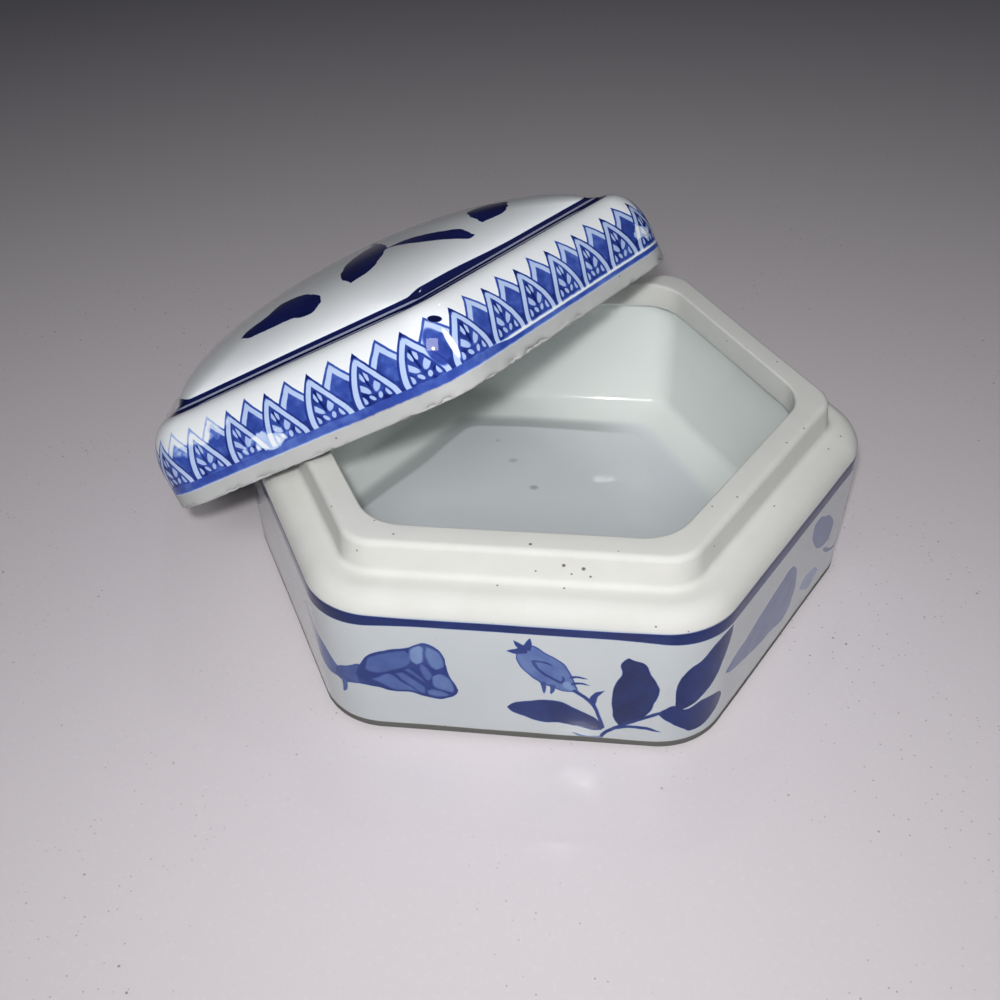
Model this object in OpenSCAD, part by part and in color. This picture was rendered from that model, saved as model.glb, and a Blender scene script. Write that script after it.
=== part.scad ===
// Six-sided porcelain seal paste box with a loose domed lid.
// Millimetres, +Z up. The origin is the middle of the flat base, on the table.
// One side of the box faces -Y. The lid leans on the collar with its far edge on the table.

/* [Box] */
// Width of the box across two opposite sides, at the painted shoulder line
box_flats = 76; // [66:1:96]
// Height of the painted line where the outer wall ends
wall_top_z = 19.3; // [17:0.1:26]
// How far each side draws in from the shoulder down to the base
wall_draft = 0.5; // [0.2:0.1:2]
// Plan radius of the wall's six upright corners
box_corner_r = 9.5; // [8:0.1:13]
// Height of the rounded shoulder, from the painted line to the ledge
shoulder_h = 3.1; // [2:0.1:4]
// How far the rounded shoulder reaches in over the wall
shoulder_reach = 2.6; // [1.6:0.1:3]
// Radius of the wall's lower edge
heel_r = 1; // [0.6:0.1:2.4]
// Height of the bare foot pad that the box stands on
foot_h = 0.3; // [0.2:0.1:1]
// How far the foot pad stays inside the wall
foot_inset = 1.8; // [1.4:0.1:4]

/* [Collar] */
// Height of the collar above the ledge
collar_rise = 4.2; // [3:0.1:5.4]
// Thickness of the collar at its top
collar_t = 3.6; // [3:0.1:4.4]
// How far the collar's outer face draws in toward its top
collar_draft = 0.3; // [0.1:0.1:0.8]
// Radius of the collar's two top edges
collar_edge_r = 0.5; // [0.3:0.1:1]
// Radius of the fillet between the ledge and the collar
ledge_fillet_r = 0.4; // [0.2:0.1:0.8]
// Plan radius of the mouth's six corners
mouth_corner_r = 7; // [5:0.1:10]

/* [Well] */
// Thickness of the floor under the paste
floor_t = 4.2; // [3:0.1:6]
// Thickness of the side wall below the ledge
wall_t = 5.6; // [4.8:0.1:6.4]
// Height of the bare upright band inside the mouth
band_h = 3.6; // [2.8:0.1:4.6]
// Height over which the well opens out below that band
flare_h = 2.6; // [1.6:0.1:3.6]
// Radius of the cove between the floor and the walls
cove_r = 8; // [5:0.1:9]

/* [Lid] */
// Height of the lid's skirt, from its bare rim to its rounded top edge
skirt_h = 11.1; // [10:0.1:15]
// Thickness of the skirt at its bare rim
skirt_t = 2.7; // [2.2:0.1:3.2]
// How far the lid's sides stay inside the box's shoulder line
lid_inset = 1.5; // [0.6:0.1:2]
// Clearance all round between the skirt and the collar when the lid is on
fit_gap = 0.3; // [0.2:0.1:0.8]
// How far the rounded top edge of the skirt reaches in
lid_edge_reach = 4.3; // [2:0.1:5]
// Height of that rounded top edge
lid_edge_h = 6.4; // [3:0.1:7.5]
// Radius of the skirt's two bottom edges
rim_edge_r = 0.4; // [0.3:0.1:0.8]
// Width of the step between the skirt's top edge and the dome
step_w = 1.8; // [0.8:0.1:3]
// How far that step climbs toward the dome
step_rise = 0.7; // [0.3:0.1:1.4]
// Height of the dome above the step
dome_h = 7.2; // [5:0.1:12]
// Fullness of the dome's sides, where 2 is an ellipse
dome_full = 1.65; // [1.4:0.05:2.2]
// Thickness of the lid's top
top_t = 3.4; // [2.6:0.1:4.2]
// Height of the hollow at the skirt, from the bare rim to where the ceiling begins
hollow_h = 8.6; // [7.6:0.1:9.6]
// Radius of the cove between the skirt and the ceiling
hollow_cove_r = 2.4; // [1.4:0.1:3.4]

/* [Lid at rest] */
// Turn of the leaning lid past the box's back-left side
lid_turn = -3; // [-5:0.1:5]
// How far the lid's low edge stands on the table beyond the box's wall
lid_out = 17.6; // [15:0.1:22]
// Sideways place of the leaning lid, square to the way it leans
lid_shift = 0.1; // [-2:0.1:2]
// Space left between the leaning lid and the collar that carries it
rest_gap = 0.4; // [0.1:0.1:0.6]
// Space left between the lid's low edge and the table
table_gap = 0.2; // [0:0.1:0.4]

/* [Hidden] */
// Side of the box that the lid leans past, as the direction of its outward face
low_side = 150;
// Steps round one corner in plan, and along one edge arc
corner_steps = 6;
arc_steps = 4;

box_a = box_flats / 2;
base_a = box_a - wall_draft;
foot_a = base_a - foot_inset;
ledge_z = wall_top_z + shoulder_h;
lid_a = box_a - lid_inset;
hollow_a = lid_a - skirt_t;
collar_a = hollow_a - fit_gap;
collar_top_a = collar_a - collar_draft;
collar_z = ledge_z + collar_rise;
mouth_a = collar_top_a - collar_t;
band_z = collar_z - band_h;
well_a = box_a - wall_t;
well_z = band_z - flare_h;
step_a = lid_a - lid_edge_reach;
dome_a = step_a - step_w;
dome_z = skirt_h + step_rise;
lid_top = dome_z + dome_h;
ceiling_a = hollow_a - hollow_cove_r;
ceiling_rise = lid_top - top_t - hollow_h;

// Plan outline of a six-sided form with rounded corners: a is the distance to a side
function hexagon_ring(a, r, z) = [
    for (k = [0 : 5], i = [0 : corner_steps])
        let (mid = -60 + 60 * k, t = mid - 30 + 60 * i / corner_steps, c = (a - r) / cos(30))
        [c * cos(mid) + r * cos(t), c * sin(mid) + r * sin(t), z]
];

// Points [distance, height] on an elliptic arc
function arc(a, z, ra, rz, from, to, steps) = [
    for (i = [0 : steps])
        let (t = from + (to - from) * i / steps)
        [a + ra * cos(t), z + rz * sin(t)]
];

// Smooth step from [a0, z0] to [a1, z1]
function ease(a0, z0, a1, z1, steps) = [
    for (i = [0 : steps])
        let (t = i / steps, s = t * t * (3 - 2 * t))
        [a0 + (a1 - a0) * s, z0 + (z1 - z0) * t]
];

// Rise of a dome of height h and foot distance a0 at distance a
function dome(a, a0, h, full) = h * pow(max(0, 1 - pow(a / a0, 2)), 1 / full);

// Corner radius of the outside, the inside and the dome at distance a
function outer_r(a) = max(2, box_corner_r - (box_a - a));
function inner_r(a) = mouth_corner_r + (a - mouth_a) * 0.5;
function domed_r(a, a0) = let (r = outer_r(a0), s = min(1, max(0, 1 - a / a0)))
    min(0.97 * a, r + (0.97 * a - r) * pow(s, 0.4));

// Closed shell through a run of rings, with flat ends
module loft(rings) {
    n = len(rings[0]);
    m = len(rings);
    polyhedron(
        points = [for (ring = rings, p = ring) p],
        faces = concat(
            [[for (i = [0 : n - 1]) i]],
            [for (j = [0 : m - 2], i = [0 : n - 1]) [j * n + i, (j + 1) * n + i, (j + 1) * n + (i + 1) % n]],
            [for (j = [0 : m - 2], i = [0 : n - 1]) [j * n + i, (j + 1) * n + (i + 1) % n, j * n + (i + 1) % n]],
            [[for (i = [n - 1 : -1 : 0]) (m - 1) * n + i]]
        ),
        convexity = 8
    );
}

// Outside of the box: heel, drawn-in wall, rounded shoulder, ledge and collar
outside = concat(
    arc(base_a - heel_r, foot_h + heel_r, heel_r, heel_r, -90, 0, arc_steps),
    arc(box_a - shoulder_reach, wall_top_z, shoulder_reach, shoulder_h, 0, 90, arc_steps + 3),
    arc(collar_a + ledge_fillet_r, ledge_z + ledge_fillet_r, ledge_fillet_r, ledge_fillet_r, -90, -180, 3),
    arc(collar_top_a - collar_edge_r, collar_z - collar_edge_r, collar_edge_r, collar_edge_r, 0, 90, arc_steps)
);

// Inside of the box: collar edge, bare band, flare, wall and cove, down to the floor
inside = concat(
    arc(mouth_a + collar_edge_r, collar_z - collar_edge_r, collar_edge_r, collar_edge_r, 90, 180, arc_steps),
    ease(mouth_a, band_z, well_a, well_z, 5),
    arc(well_a - cove_r, floor_t + cove_r, cove_r, cove_r, 0, -90, 7)
);

// Porcelain box, cast in one piece with its collar and foot
module box() {
    color([0.93, 0.94, 0.93]) union() {
        loft(concat(
            [for (p = outside) hexagon_ring(p[0], outer_r(p[0]), p[1])],
            [for (p = inside) hexagon_ring(p[0], inner_r(p[0]), p[1])]
        ));
        linear_extrude(height = foot_h + heel_r / 2)
            polygon([for (p = hexagon_ring(foot_a, outer_r(foot_a), 0)) [p[0], p[1]]]);
    }
}

// Hollow of the lid from the middle of its ceiling out and down to the bare rim
hollow = concat(
    [for (i = [0 : 8]) let (a = 2 + (ceiling_a - 2) * i / 8) [a, hollow_h + dome(a, hollow_a, ceiling_rise, dome_full)]],
    arc(ceiling_a, hollow_h - hollow_cove_r + 1, hollow_cove_r, hollow_cove_r, 50, 0, 3),
    arc(hollow_a + rim_edge_r, rim_edge_r, rim_edge_r, rim_edge_r, 180, 270, arc_steps)
);

// Skirt and its rounded top edge
skirt = concat(
    arc(lid_a - rim_edge_r, rim_edge_r, rim_edge_r, rim_edge_r, -90, 0, arc_steps),
    arc(step_a, skirt_h - lid_edge_h, lid_edge_reach, lid_edge_h, 0, 90, arc_steps + 4)
);

// Dome, from its foot on the step to the middle of the top
crown = [for (i = [0 : 15]) let (t = 90 * i / 15, a = max(1.5, dome_a * cos(t))) [a, dome_z + dome(a, dome_a, dome_h, dome_full)]];

module lid_form() {
    loft(concat(
        [for (p = hollow) hexagon_ring(p[0], domed_r(p[0], hollow_a), p[1])],
        [for (p = skirt) hexagon_ring(p[0], outer_r(p[0]), p[1])],
        [for (p = crown) hexagon_ring(p[0], domed_r(p[0], dome_a), p[1])]
    ));
}

// The leaning lid. It stands on its low edge and its skirt lies across two sides of the
// collar, so the lean follows from the sizes: it is the angle that leaves rest_gap there.
lean_dir = low_side + lid_turn;
function lid_z(v) = table_gap + (lid_a - rim_edge_r) * sin(v) - rim_edge_r * cos(v) + rim_edge_r;
function lid_u(v) = box_a + lid_out - lid_a * cos(v);

// A point of the lid's own frame in the box's frame at lean v
function turned(p, v) = let (
        q = [p[0] * cos(-low_side) - p[1] * sin(-low_side), p[0] * sin(-low_side) + p[1] * cos(-low_side), p[2]],
        w = [q[0] * cos(v) + q[2] * sin(v), q[1], -q[0] * sin(v) + q[2] * cos(v)])
    [w[0] * cos(lean_dir) - w[1] * sin(lean_dir), w[0] * sin(lean_dir) + w[1] * cos(lean_dir), w[2]];
function lid_place(v) = [
    lid_u(v) * cos(lean_dir) - lid_shift * sin(lean_dir),
    lid_u(v) * sin(lean_dir) + lid_shift * cos(lean_dir),
    lid_z(v)
];

// Space between the skirt's inner bottom edge and the collar's outer top edge on one side
function side_gap(side, lid_side, v) = let (
        c = collar_top_a - collar_edge_r,
        p = [c * cos(side), c * sin(side), collar_z - collar_edge_r],
        d = [-sin(side), cos(side), 0],
        e = hollow_a + rim_edge_r,
        q = turned([e * cos(lid_side), e * sin(lid_side), rim_edge_r], v) + lid_place(v),
        f = turned([-sin(lid_side), cos(lid_side), 0], v),
        n = cross(d, f))
    sign(n[2]) * ((q - p) * n) / norm(n) - collar_edge_r - rim_edge_r;
function left_gap(v) = side_gap(low_side + 60, low_side + 120, v);
function back_gap(v) = side_gap(low_side - 60, low_side - 120, v);
function rest_space(v) = min(left_gap(v), back_gap(v));
function solve_lean(lo, hi, steps) = steps == 0 ? hi
    : let (mid = (lo + hi) / 2)
    rest_space(mid) < rest_gap ? solve_lean(mid, hi, steps - 1) : solve_lean(lo, mid, steps - 1);
lean = solve_lean(10, 60, 24);
echo(lean = lean, place = lid_place(lean), left = left_gap(lean), back = back_gap(lean));

// Porcelain lid, cast in one piece: skirt, step and dome over a hollow
module lid() {
    color([0.93, 0.94, 0.95])
        translate(lid_place(lean))
        rotate([0, lean, lean_dir])
        rotate([0, 0, -low_side])
        lid_form();
}

box();
lid();
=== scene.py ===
import math

import bpy
from mathutils import Matrix, Vector


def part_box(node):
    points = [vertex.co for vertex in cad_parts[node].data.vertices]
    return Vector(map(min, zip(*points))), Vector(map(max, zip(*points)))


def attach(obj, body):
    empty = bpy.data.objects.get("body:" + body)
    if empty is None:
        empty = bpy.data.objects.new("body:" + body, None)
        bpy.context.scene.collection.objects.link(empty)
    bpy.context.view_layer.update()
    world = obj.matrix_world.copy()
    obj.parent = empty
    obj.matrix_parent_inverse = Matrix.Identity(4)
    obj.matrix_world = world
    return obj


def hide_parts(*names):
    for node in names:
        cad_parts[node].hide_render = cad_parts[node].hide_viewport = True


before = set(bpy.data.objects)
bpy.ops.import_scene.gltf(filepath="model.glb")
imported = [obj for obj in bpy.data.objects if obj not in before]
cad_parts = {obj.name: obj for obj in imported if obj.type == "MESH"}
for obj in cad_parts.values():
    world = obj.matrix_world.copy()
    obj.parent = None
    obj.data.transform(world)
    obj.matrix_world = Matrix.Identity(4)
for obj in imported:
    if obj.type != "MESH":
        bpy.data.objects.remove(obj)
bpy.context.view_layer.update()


# The eye
# A close view from just in front of the box and well above it, as someone
# who opens it on a table sees it. Its axes were fitted to the box's edges.
FILM_WIDTH, LENS = 36.0, 38.895    # in millimetres
NEAREST = 0.01                     # in metres, as the eye's place is
EYE_PLACE = Vector((0.0101811, -0.1212088, 0.1057600))
EYE_LOOKS = Vector((-0.1027510, 0.7696037, -0.6302003))
EYE_RIGHT = Vector((0.9933252, 0.1127721, -0.0242388))
eye = bpy.data.cameras.new("eye")
eye.sensor_width = FILM_WIDTH
eye.lens = LENS
eye.clip_start = NEAREST
eye_object = bpy.data.objects.new("eye", eye)
axes = Matrix((EYE_RIGHT, EYE_RIGHT.cross(EYE_LOOKS), -EYE_LOOKS)).transposed()
eye_object.matrix_world = Matrix.Translation(EYE_PLACE) @ axes.to_4x4()
bpy.context.scene.collection.objects.link(eye_object)
bpy.context.scene.camera = eye_object


# The box
# One slip-cast porcelain body with six sides, glazed inside and out and left
# bare on the shoulder, the ledge and the collar, where the lid would stick.

# Sizes are in millimetres. A name that ends in A is a distance from the piece's axis
# to a flat side, and one that ends in Z is a height above its foot or rim.
MM = 1000.0                     # in a metre
box_low, box_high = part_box("box")
BOX_A = round(-box_low[1] * MM, 2)
BOX_CORNER = 9.5                # corner radius of the wall, seen from above
BASE_A = BOX_A - 0.2
FOOT_A, FOOT_EDGE, FOOT_H = 35.7, 0.2, 0.15
HEEL_R = 0.3
WALL_TOP = 19.3
SHOULDER_REACH, SHOULDER_H = 2.6, 3.1
LEDGE_Z = WALL_TOP + SHOULDER_H
LEDGE_MIDDLE_A, LEDGE_FILLET = 34.6, 0.8
COLLAR_A, COLLAR_TOP_A = BOX_A - 4.5, BOX_A - 4.8
COLLAR_Z = round(box_high[2] * MM, 2)
COLLAR_MIDDLE_Z, COLLAR_EDGE = 24.4, 0.9
LIP_A = 31.0
MOUTH_A, MOUTH_CORNER, MOUTH_EDGE, MOUTH_MIDDLE_Z = 29.6, 7.0, 0.4, 24.6
MOUTH_CORNER_LOSS = 1.8         # radius that the corner loses for each millimetre further out
WELL_A, WELL_Z, WELL_MIDDLE_Z = 31.2, 21.6, 16.4
WELL_CORNER_SHARE = 0.132       # corner radius of the well, as a share of its distance
BAND_Z = 23.0                   # where the mouth begins to widen into the well
COVE_R, COVE_Z = 1.4, 3.85      # the tight bend at the foot of the well's wall
FLOOR_A, FLOOR_Z = 25.0, 2.6    # where the slope below it runs out, and the floor
FLOOR_EASE = 3.0
CORNER_STEPS, BOX_SIDE_STEPS = 16, 53
FIRST_CORNER = 60               # in degrees
HALF_ROUND = 128.57             # half the way round the wall, which one spray takes


def arc(a, z, reach, rise, start, end, steps):
    """Points (distance, height) along an elliptic arc, in degrees."""
    turns = [math.radians(start + (end - start) * i / steps) for i in range(steps + 1)]
    return [(a + reach * math.cos(t), z + rise * math.sin(t)) for t in turns]


def ease(a0, z0, a1, z1, steps):
    """A smooth step from one point of the profile to another."""
    shares = [i / steps for i in range(steps + 1)]
    return [(a0 + (a1 - a0) * t * t * (3 - 2 * t), z0 + (z1 - z0) * t) for t in shares]


def line(a0, z0, a1, z1, steps):
    """Even points from one end of a straight stretch up to, not with, the other."""
    return [(a0 + (a1 - a0) * i / steps, z0 + (z1 - z0) * i / steps) for i in range(steps)]


def bend(start, middle, end, steps):
    """A curve from start to end that leaves and arrives along the lines to middle."""
    start, middle, end = Vector(start), Vector(middle), Vector(end)
    shares = [i / steps for i in range(steps + 1)]
    return [tuple(start.lerp(middle, t).lerp(middle.lerp(end, t), t)) for t in shares]


def outer_corner(a):
    """Corner radius of the outside, at this distance from the axis."""
    return max(2.0, BOX_CORNER - (BOX_A - a))


def mouth_corner(a):
    """The same for the mouth and the flare below it."""
    return MOUTH_CORNER - (a - MOUTH_A) * MOUTH_CORNER_LOSS


def well_corner(a):
    """The same for the well's wall and floor."""
    return a * WELL_CORNER_SHARE


def with_corners(points, rule):
    """Each point of a profile with its corner radius, which shrinks to the axis."""
    return [(a, min(rule(a), 0.97 * a) if a else 0.0, z) for a, z in points]


def pigment(r, g, b):
    """A colour given as it looks on a screen, 0 to 255, as the shader wants it."""
    return tuple(((c / 255 + 0.055) / 1.055) ** 2.4 for c in (r, g, b))


class Flow:
    """A value on its way through a node tree. Python's operators add Math nodes to it."""

    def __init__(self, tree, socket=None):
        self.tree, self.socket = tree, socket

    def add(self, kind, inputs=None, out=0, stops=None, points=None, handle="AUTO", **settings):
        """Any other node: its type, the values or links of its sockets, and its settings."""
        made = self.tree.nodes.new(kind)
        for name, value in settings.items():
            setattr(made, name, value)
        if stops:
            ramp = made.color_ramp.elements
            while len(ramp) < len(stops):
                ramp.new(0.5)
            for stop, (place, colour) in zip(ramp, stops):
                stop.position = place
                stop.color = (*pigment(*colour), 1.0)
        if points:
            curve = made.mapping.curves[0]
            made.mapping.use_clip = False
            while len(curve.points) < len(points):
                curve.points.new(0.5, 0.5)
            for point, place in zip(curve.points, points):
                point.location = place
                point.handle_type = handle
            made.mapping.update()
        for name, value in (inputs or {}).items():
            if isinstance(value, Flow):
                self.tree.links.new(value.socket, made.inputs[name])
            else:
                made.inputs[name].default_value = value
        return Flow(self.tree, made.outputs[out])

    def out(self, name):
        """Another output of the same node."""
        return Flow(self.tree, self.socket.node.outputs[name])

    def feed(self, shader, name):
        """Joins this value to a socket of the shader."""
        self.tree.links.new(self.socket, shader.inputs[name])

    def math(self, operation, *values):
        return self.add("ShaderNodeMath", dict(enumerate(values)), operation=operation)

    def __add__(self, other):
        return self.math("ADD", self, other)

    def __radd__(self, other):
        return self.math("ADD", other, self)

    def __sub__(self, other):
        return self.math("SUBTRACT", self, other)

    def __rsub__(self, other):
        return self.math("SUBTRACT", other, self)

    def __mul__(self, other):
        return self.math("MULTIPLY", self, other)

    def __rmul__(self, other):
        return self.math("MULTIPLY", other, self)

    def __truediv__(self, other):
        return self.math("DIVIDE", self, other)

    def __rtruediv__(self, other):
        return self.math("DIVIDE", other, self)

    def __mod__(self, other):
        return self.math("FLOORED_MODULO", self, other)

    def __pow__(self, other):
        return self.math("POWER", self, other)

    def __abs__(self):
        return self.math("ABSOLUTE", self)

    def least(self, other):
        return self.math("MINIMUM", self, other)

    def most(self, other):
        return self.math("MAXIMUM", self, other)

    def floor(self):
        return self.math("FLOOR", self)

    def past(self, other):
        return self.math("GREATER_THAN", self, other)

    def vector(self, operation, other=(0.0, 0.0, 0.0), scale=1.0):
        """Vector maths on this place: SCALE uses scale, and the rest use other."""
        return self.add("ShaderNodeVectorMath", {0: self, 1: other, 3: scale}, operation=operation)

    def length(self):
        return self.vector("LENGTH").out("Value")

    def split(self):
        """The x of this place, with y and z as out(1) and out(2)."""
        return self.add("ShaderNodeSeparateXYZ", {0: self})

    def step(self, start, end):
        """0 before start and 1 after end, with a smooth rise between; start may be above end."""
        return self.add(
            "ShaderNodeMapRange", {0: self, 1: start, 2: end}, interpolation_type="SMOOTHSTEP"
        )

    def toward(self, other, share):
        """This number where share is 0, and the other where it is 1."""
        return self.add("ShaderNodeMix", {0: share, 2: self, 3: other}, data_type="FLOAT")

    def colour(self, other, share):
        """This colour where share is 0, and the other where it is 1."""
        other = other if isinstance(other, Flow) else (*pigment(*other), 1.0)
        return self.add("ShaderNodeMix", {0: share, 6: self, 7: other}, out=2, data_type="RGBA")

    def between(self, first, second):
        """The colour that lies this share of the way from first to second."""
        ends = {0: self, 6: (*pigment(*first), 1.0), 7: (*pigment(*second), 1.0)}
        return self.add("ShaderNodeMix", ends, out=2, data_type="RGBA")

    def tones(self, *stops):
        """The colour for this much ink, from (amount, colour) stops."""
        return self.add("ShaderNodeValToRGB", {0: self}, stops=stops)

    def curve(self, points, handle="AUTO"):
        """This number through a drawn curve, from 0 to 1."""
        return self.add("ShaderNodeFloatCurve", {1: self}, points=points, handle=handle)

    def noise(self, scale, detail=2.0, out=0):
        """Cloudy variation around 0.5 over this place, with lumps of about 1/scale metres."""
        return self.add("ShaderNodeTexNoise", {"Vector": self, "Scale": scale, "Detail": detail}, out=out)


def sheet(x, y):
    """A place on a flat sheet."""
    return x.add("ShaderNodeCombineXYZ", {0: x, 1: y})


def hexagon_shell():
    """The tree that turns a profile into a six-sided shell with rounded corners.
    A profile point holds its distance from the axis, its corner radius and its height."""
    tree = bpy.data.node_groups.new("hexagon_shell", "GeometryNodeTree")
    face = tree.interface
    face.new_socket(name="Profile", in_out="INPUT", socket_type="NodeSocketGeometry")
    for name, value in (("Corner steps", CORNER_STEPS), ("Side steps", BOX_SIDE_STEPS)):
        face.new_socket(name=name, in_out="INPUT", socket_type="NodeSocketInt").default_value = value
    for name, value in (("First corner", math.radians(FIRST_CORNER)), ("Warp depth", 0.00012),
                        ("Warp scale", 45.0), ("Chip depth", 0.0), ("Rim at", 0.0), ("Split at", 1.0)):
        face.new_socket(name=name, in_out="INPUT", socket_type="NodeSocketFloat").default_value = value
    for name in ("Lower finish", "Upper finish"):
        face.new_socket(name=name, in_out="INPUT", socket_type="NodeSocketMaterial")
    face.new_socket(name="Shell", in_out="OUTPUT", socket_type="NodeSocketGeometry")

    # A grid with one column for each step round the shell and one row for each profile point
    f = Flow(tree)
    given = f.add("NodeGroupInput")
    profile = given.out("Profile")
    rows = f.add("GeometryNodeAttributeDomainSize", {0: profile})
    per = given.out("Corner steps") + given.out("Side steps")
    grid = f.add("GeometryNodeMeshGrid", {"Vertices X": per * 6 + 1, "Vertices Y": rows})
    index = f.add("GeometryNodeInputIndex")
    column = (index / rows).floor()
    row = index - column * rows
    at = f.add("GeometryNodeInputPosition")
    point = f.add("GeometryNodeSampleIndex", {0: profile, 1: at, 2: row}, data_type="FLOAT_VECTOR")
    a = point.split()
    r, z = a.out(1), a.out(2)
    along = f.add("GeometryNodeInputNamedAttribute", {0: "along"}, data_type="FLOAT")
    along = f.add("GeometryNodeSampleIndex", {0: profile, 1: along, 2: row}, data_type="FLOAT")

    # Each column is on a corner's arc, or a share of the way to the next corner
    corner = (column / per).floor()
    step = column - corner * per
    middle = given.out("First corner") + corner * math.radians(60)
    turn = (step / given.out("Corner steps")).least(1.0)
    angle = middle + (turn - 0.5) * math.radians(60)
    share = ((step - given.out("Corner steps")) / given.out("Side steps")).most(0.0)
    centre = (a - r) / math.cos(math.radians(30))

    def side_point(function):
        this = centre * middle.math(function, middle) + r * angle.math(function, angle)
        after = middle + math.radians(60)
        start = middle + math.radians(30)
        following = centre * after.math(function, after) + r * start.math(function, start)
        return this + (following - this) * share

    place = f.add("ShaderNodeCombineXYZ", {0: side_point("COSINE"), 1: side_point("SINE"), 2: z})
    shell = f.add("GeometryNodeSetPosition", {0: grid, 2: place})
    shell = f.add("GeometryNodeStoreNamedAttribute", {0: shell, 2: "UVMap", 3: grid.out("UV Map")},
                  data_type="FLOAT2", domain="CORNER")
    shell = f.add("GeometryNodeStoreNamedAttribute", {0: shell, 2: "along", 3: along},
                  data_type="FLOAT", domain="POINT")
    shell = f.add("GeometryNodeMergeByDistance", {0: shell, 2: 1e-6})

    # The slight warp of a fired wall, and the chips along a bare rim, both cut inward
    here = f.add("GeometryNodeInputPosition")
    normal = f.add("GeometryNodeInputNormal")
    along_here = f.add("GeometryNodeInputNamedAttribute", {0: "along"}, data_type="FLOAT")
    warp = (here.noise(given.out("Warp scale"), 1.0) - 0.75).least(0.0) * given.out("Warp depth") * 2.0
    near_rim = (abs(along_here - given.out("Rim at")) / 0.0005).step(1.0, 0.2)
    chip = here.noise(800.0).step(0.46, 0.66) * here.noise(90.0, 1.0).step(0.4, 0.52)
    depth = warp - chip * near_rim * given.out("Chip depth")
    shell = f.add("GeometryNodeSetPosition", {0: shell, 3: normal.vector("SCALE", scale=depth)})
    shell = f.add("GeometryNodeSetShadeSmooth", {0: shell})
    shell = f.add("GeometryNodeRealizeInstances", {0: shell})
    shell = f.add("GeometryNodeSetMaterial", {0: shell, 2: given.out("Lower finish")})
    upper = along_here.past(given.out("Split at"))
    shell = f.add("GeometryNodeSetMaterial", {0: shell, 1: upper, 2: given.out("Upper finish")})
    result = tree.nodes.new("NodeGroupOutput")
    tree.links.new(shell.socket, result.inputs[0])
    return tree


def travel(profile):
    """How far along the profile each of its points lies, in metres."""
    lengths = [0.0]
    for (a0, _, z0), (a1, _, z1) in zip(profile, profile[1:]):
        lengths.append(lengths[-1] + math.hypot(a1 - a0, z1 - z0) / MM)
    return lengths


def raise_shell(name, tree, profile, settings):
    """Runs the tree over a profile of (distance, corner radius, height)."""
    wire = bpy.data.meshes.new(name + "_profile")
    wire.from_pydata([(a / MM, r / MM, z / MM) for a, r, z in profile],
                     [(i, i + 1) for i in range(len(profile) - 1)], [])
    wire.attributes.new("along", "FLOAT", "POINT").data.foreach_set("value", travel(profile))
    piece = bpy.data.objects.new(name, wire)
    bpy.context.scene.collection.objects.link(piece)
    shaper = piece.modifiers.new("shell", "NODES")
    shaper.node_group = tree
    for item in tree.interface.items_tree:
        if item.in_out == "INPUT" and item.name in settings:
            shaper[item.identifier] = settings[item.name]
    shown = piece.evaluated_get(bpy.context.evaluated_depsgraph_get())
    mesh = bpy.data.meshes.new_from_object(shown)
    piece.modifiers.remove(shaper)
    piece.data = mesh
    return piece


# Where a leaf's two edges stand at its ends, past each other so that it ends in a point,
# and how near to an end a point on an edge may be, both as shares of the leaf's length
LEAF_CROSSING, LEAF_END = 0.012, 0.004


def leaf(place, start, end, left, right):
    """How far inside a painted leaf a point lies, below 0 outside. left and right
    are points on its two edges, from start to end."""
    reach = Vector(end) - Vector(start)
    length, turn = reach.length, math.atan2(reach.y, reach.x)
    along = reach.normalized()
    across = Vector((-along.y, along.x))
    local = place.add("ShaderNodeMapping", {0: place, 1: (*start, 0.0), 2: (0.0, 0.0, turn),
                                            3: (length, length, 1.0)}, vector_type="TEXTURE")
    u = local.split()
    v = u.out(1)

    def edge(points, cut):
        inner = sorted(((Vector(p) - Vector(start)).dot(along) / length,
                        (Vector(p) - Vector(start)).dot(across) / length) for p in points)
        inner = [p for p in inner if LEAF_END < p[0] < 1.0 - LEAF_END]
        return u.curve([(0.0, cut)] + inner + [(1.0, cut)], "AUTO_CLAMPED")

    return (edge(left, -LEAF_CROSSING) - v).least(v - edge(right, LEAF_CROSSING)) * length


def stroke(place, points, width, ends=(0.5, 0.1)):
    """The same for one pull of the brush through these points. The two ends
    are shares of the full width."""
    start, end = Vector(points[0]), Vector(points[-1])
    along = (end - start).normalized()
    across = Vector((-along.y, along.x)) * width / 2
    spine = [(start.lerp(end, 0.03), ends[0])] + [(Vector(p), 1.0) for p in points[1:-1]]
    spine += [(end.lerp(start, 0.03), ends[1])]
    return leaf(place, points[0], points[-1], [p + across * w for p, w in spine],
                [p - across * w for p, w in spine])


def brushed(ink, place, leaves, strokes, outline_edge, wash_edge, stroke_edge):
    """Paints leaves and then pulls of the brush over the ink that is there. An edge
    holds the distances inside a shape where its paint begins and where it is full."""
    for start, end, left, right, tone, outline in leaves:
        inside = leaf(place, start, end, left, right)
        ink = ink.toward(outline, inside.step(*outline_edge))
        ink = ink.toward(tone, inside.step(*wash_edge))
    for points, width, tone, *ends in strokes:
        ink = ink.toward(tone, stroke(place, points, width, *ends).step(*stroke_edge))
    return ink


def trembling(flat, place, reach):
    """A flat place, moved about a little so that what is drawn on it has a hand's edge."""
    wobble = place.noise(330.0, out=1).vector("SUBTRACT", (0.5, 0.5, 0.5))
    return flat.vector("ADD", wobble.vector("SCALE", scale=reach))


def spot(place, x, y, half_width, half_height, turn=0.0):
    """Distance from the middle of an oval spot, which is 1 along its edge."""
    local = place.add("ShaderNodeMapping", {0: place, 1: (x, y, 0.0), 2: (0.0, 0.0, math.radians(turn)),
                                            3: (half_width, half_height, 1.0)}, vector_type="TEXTURE")
    return local.length()


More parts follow.
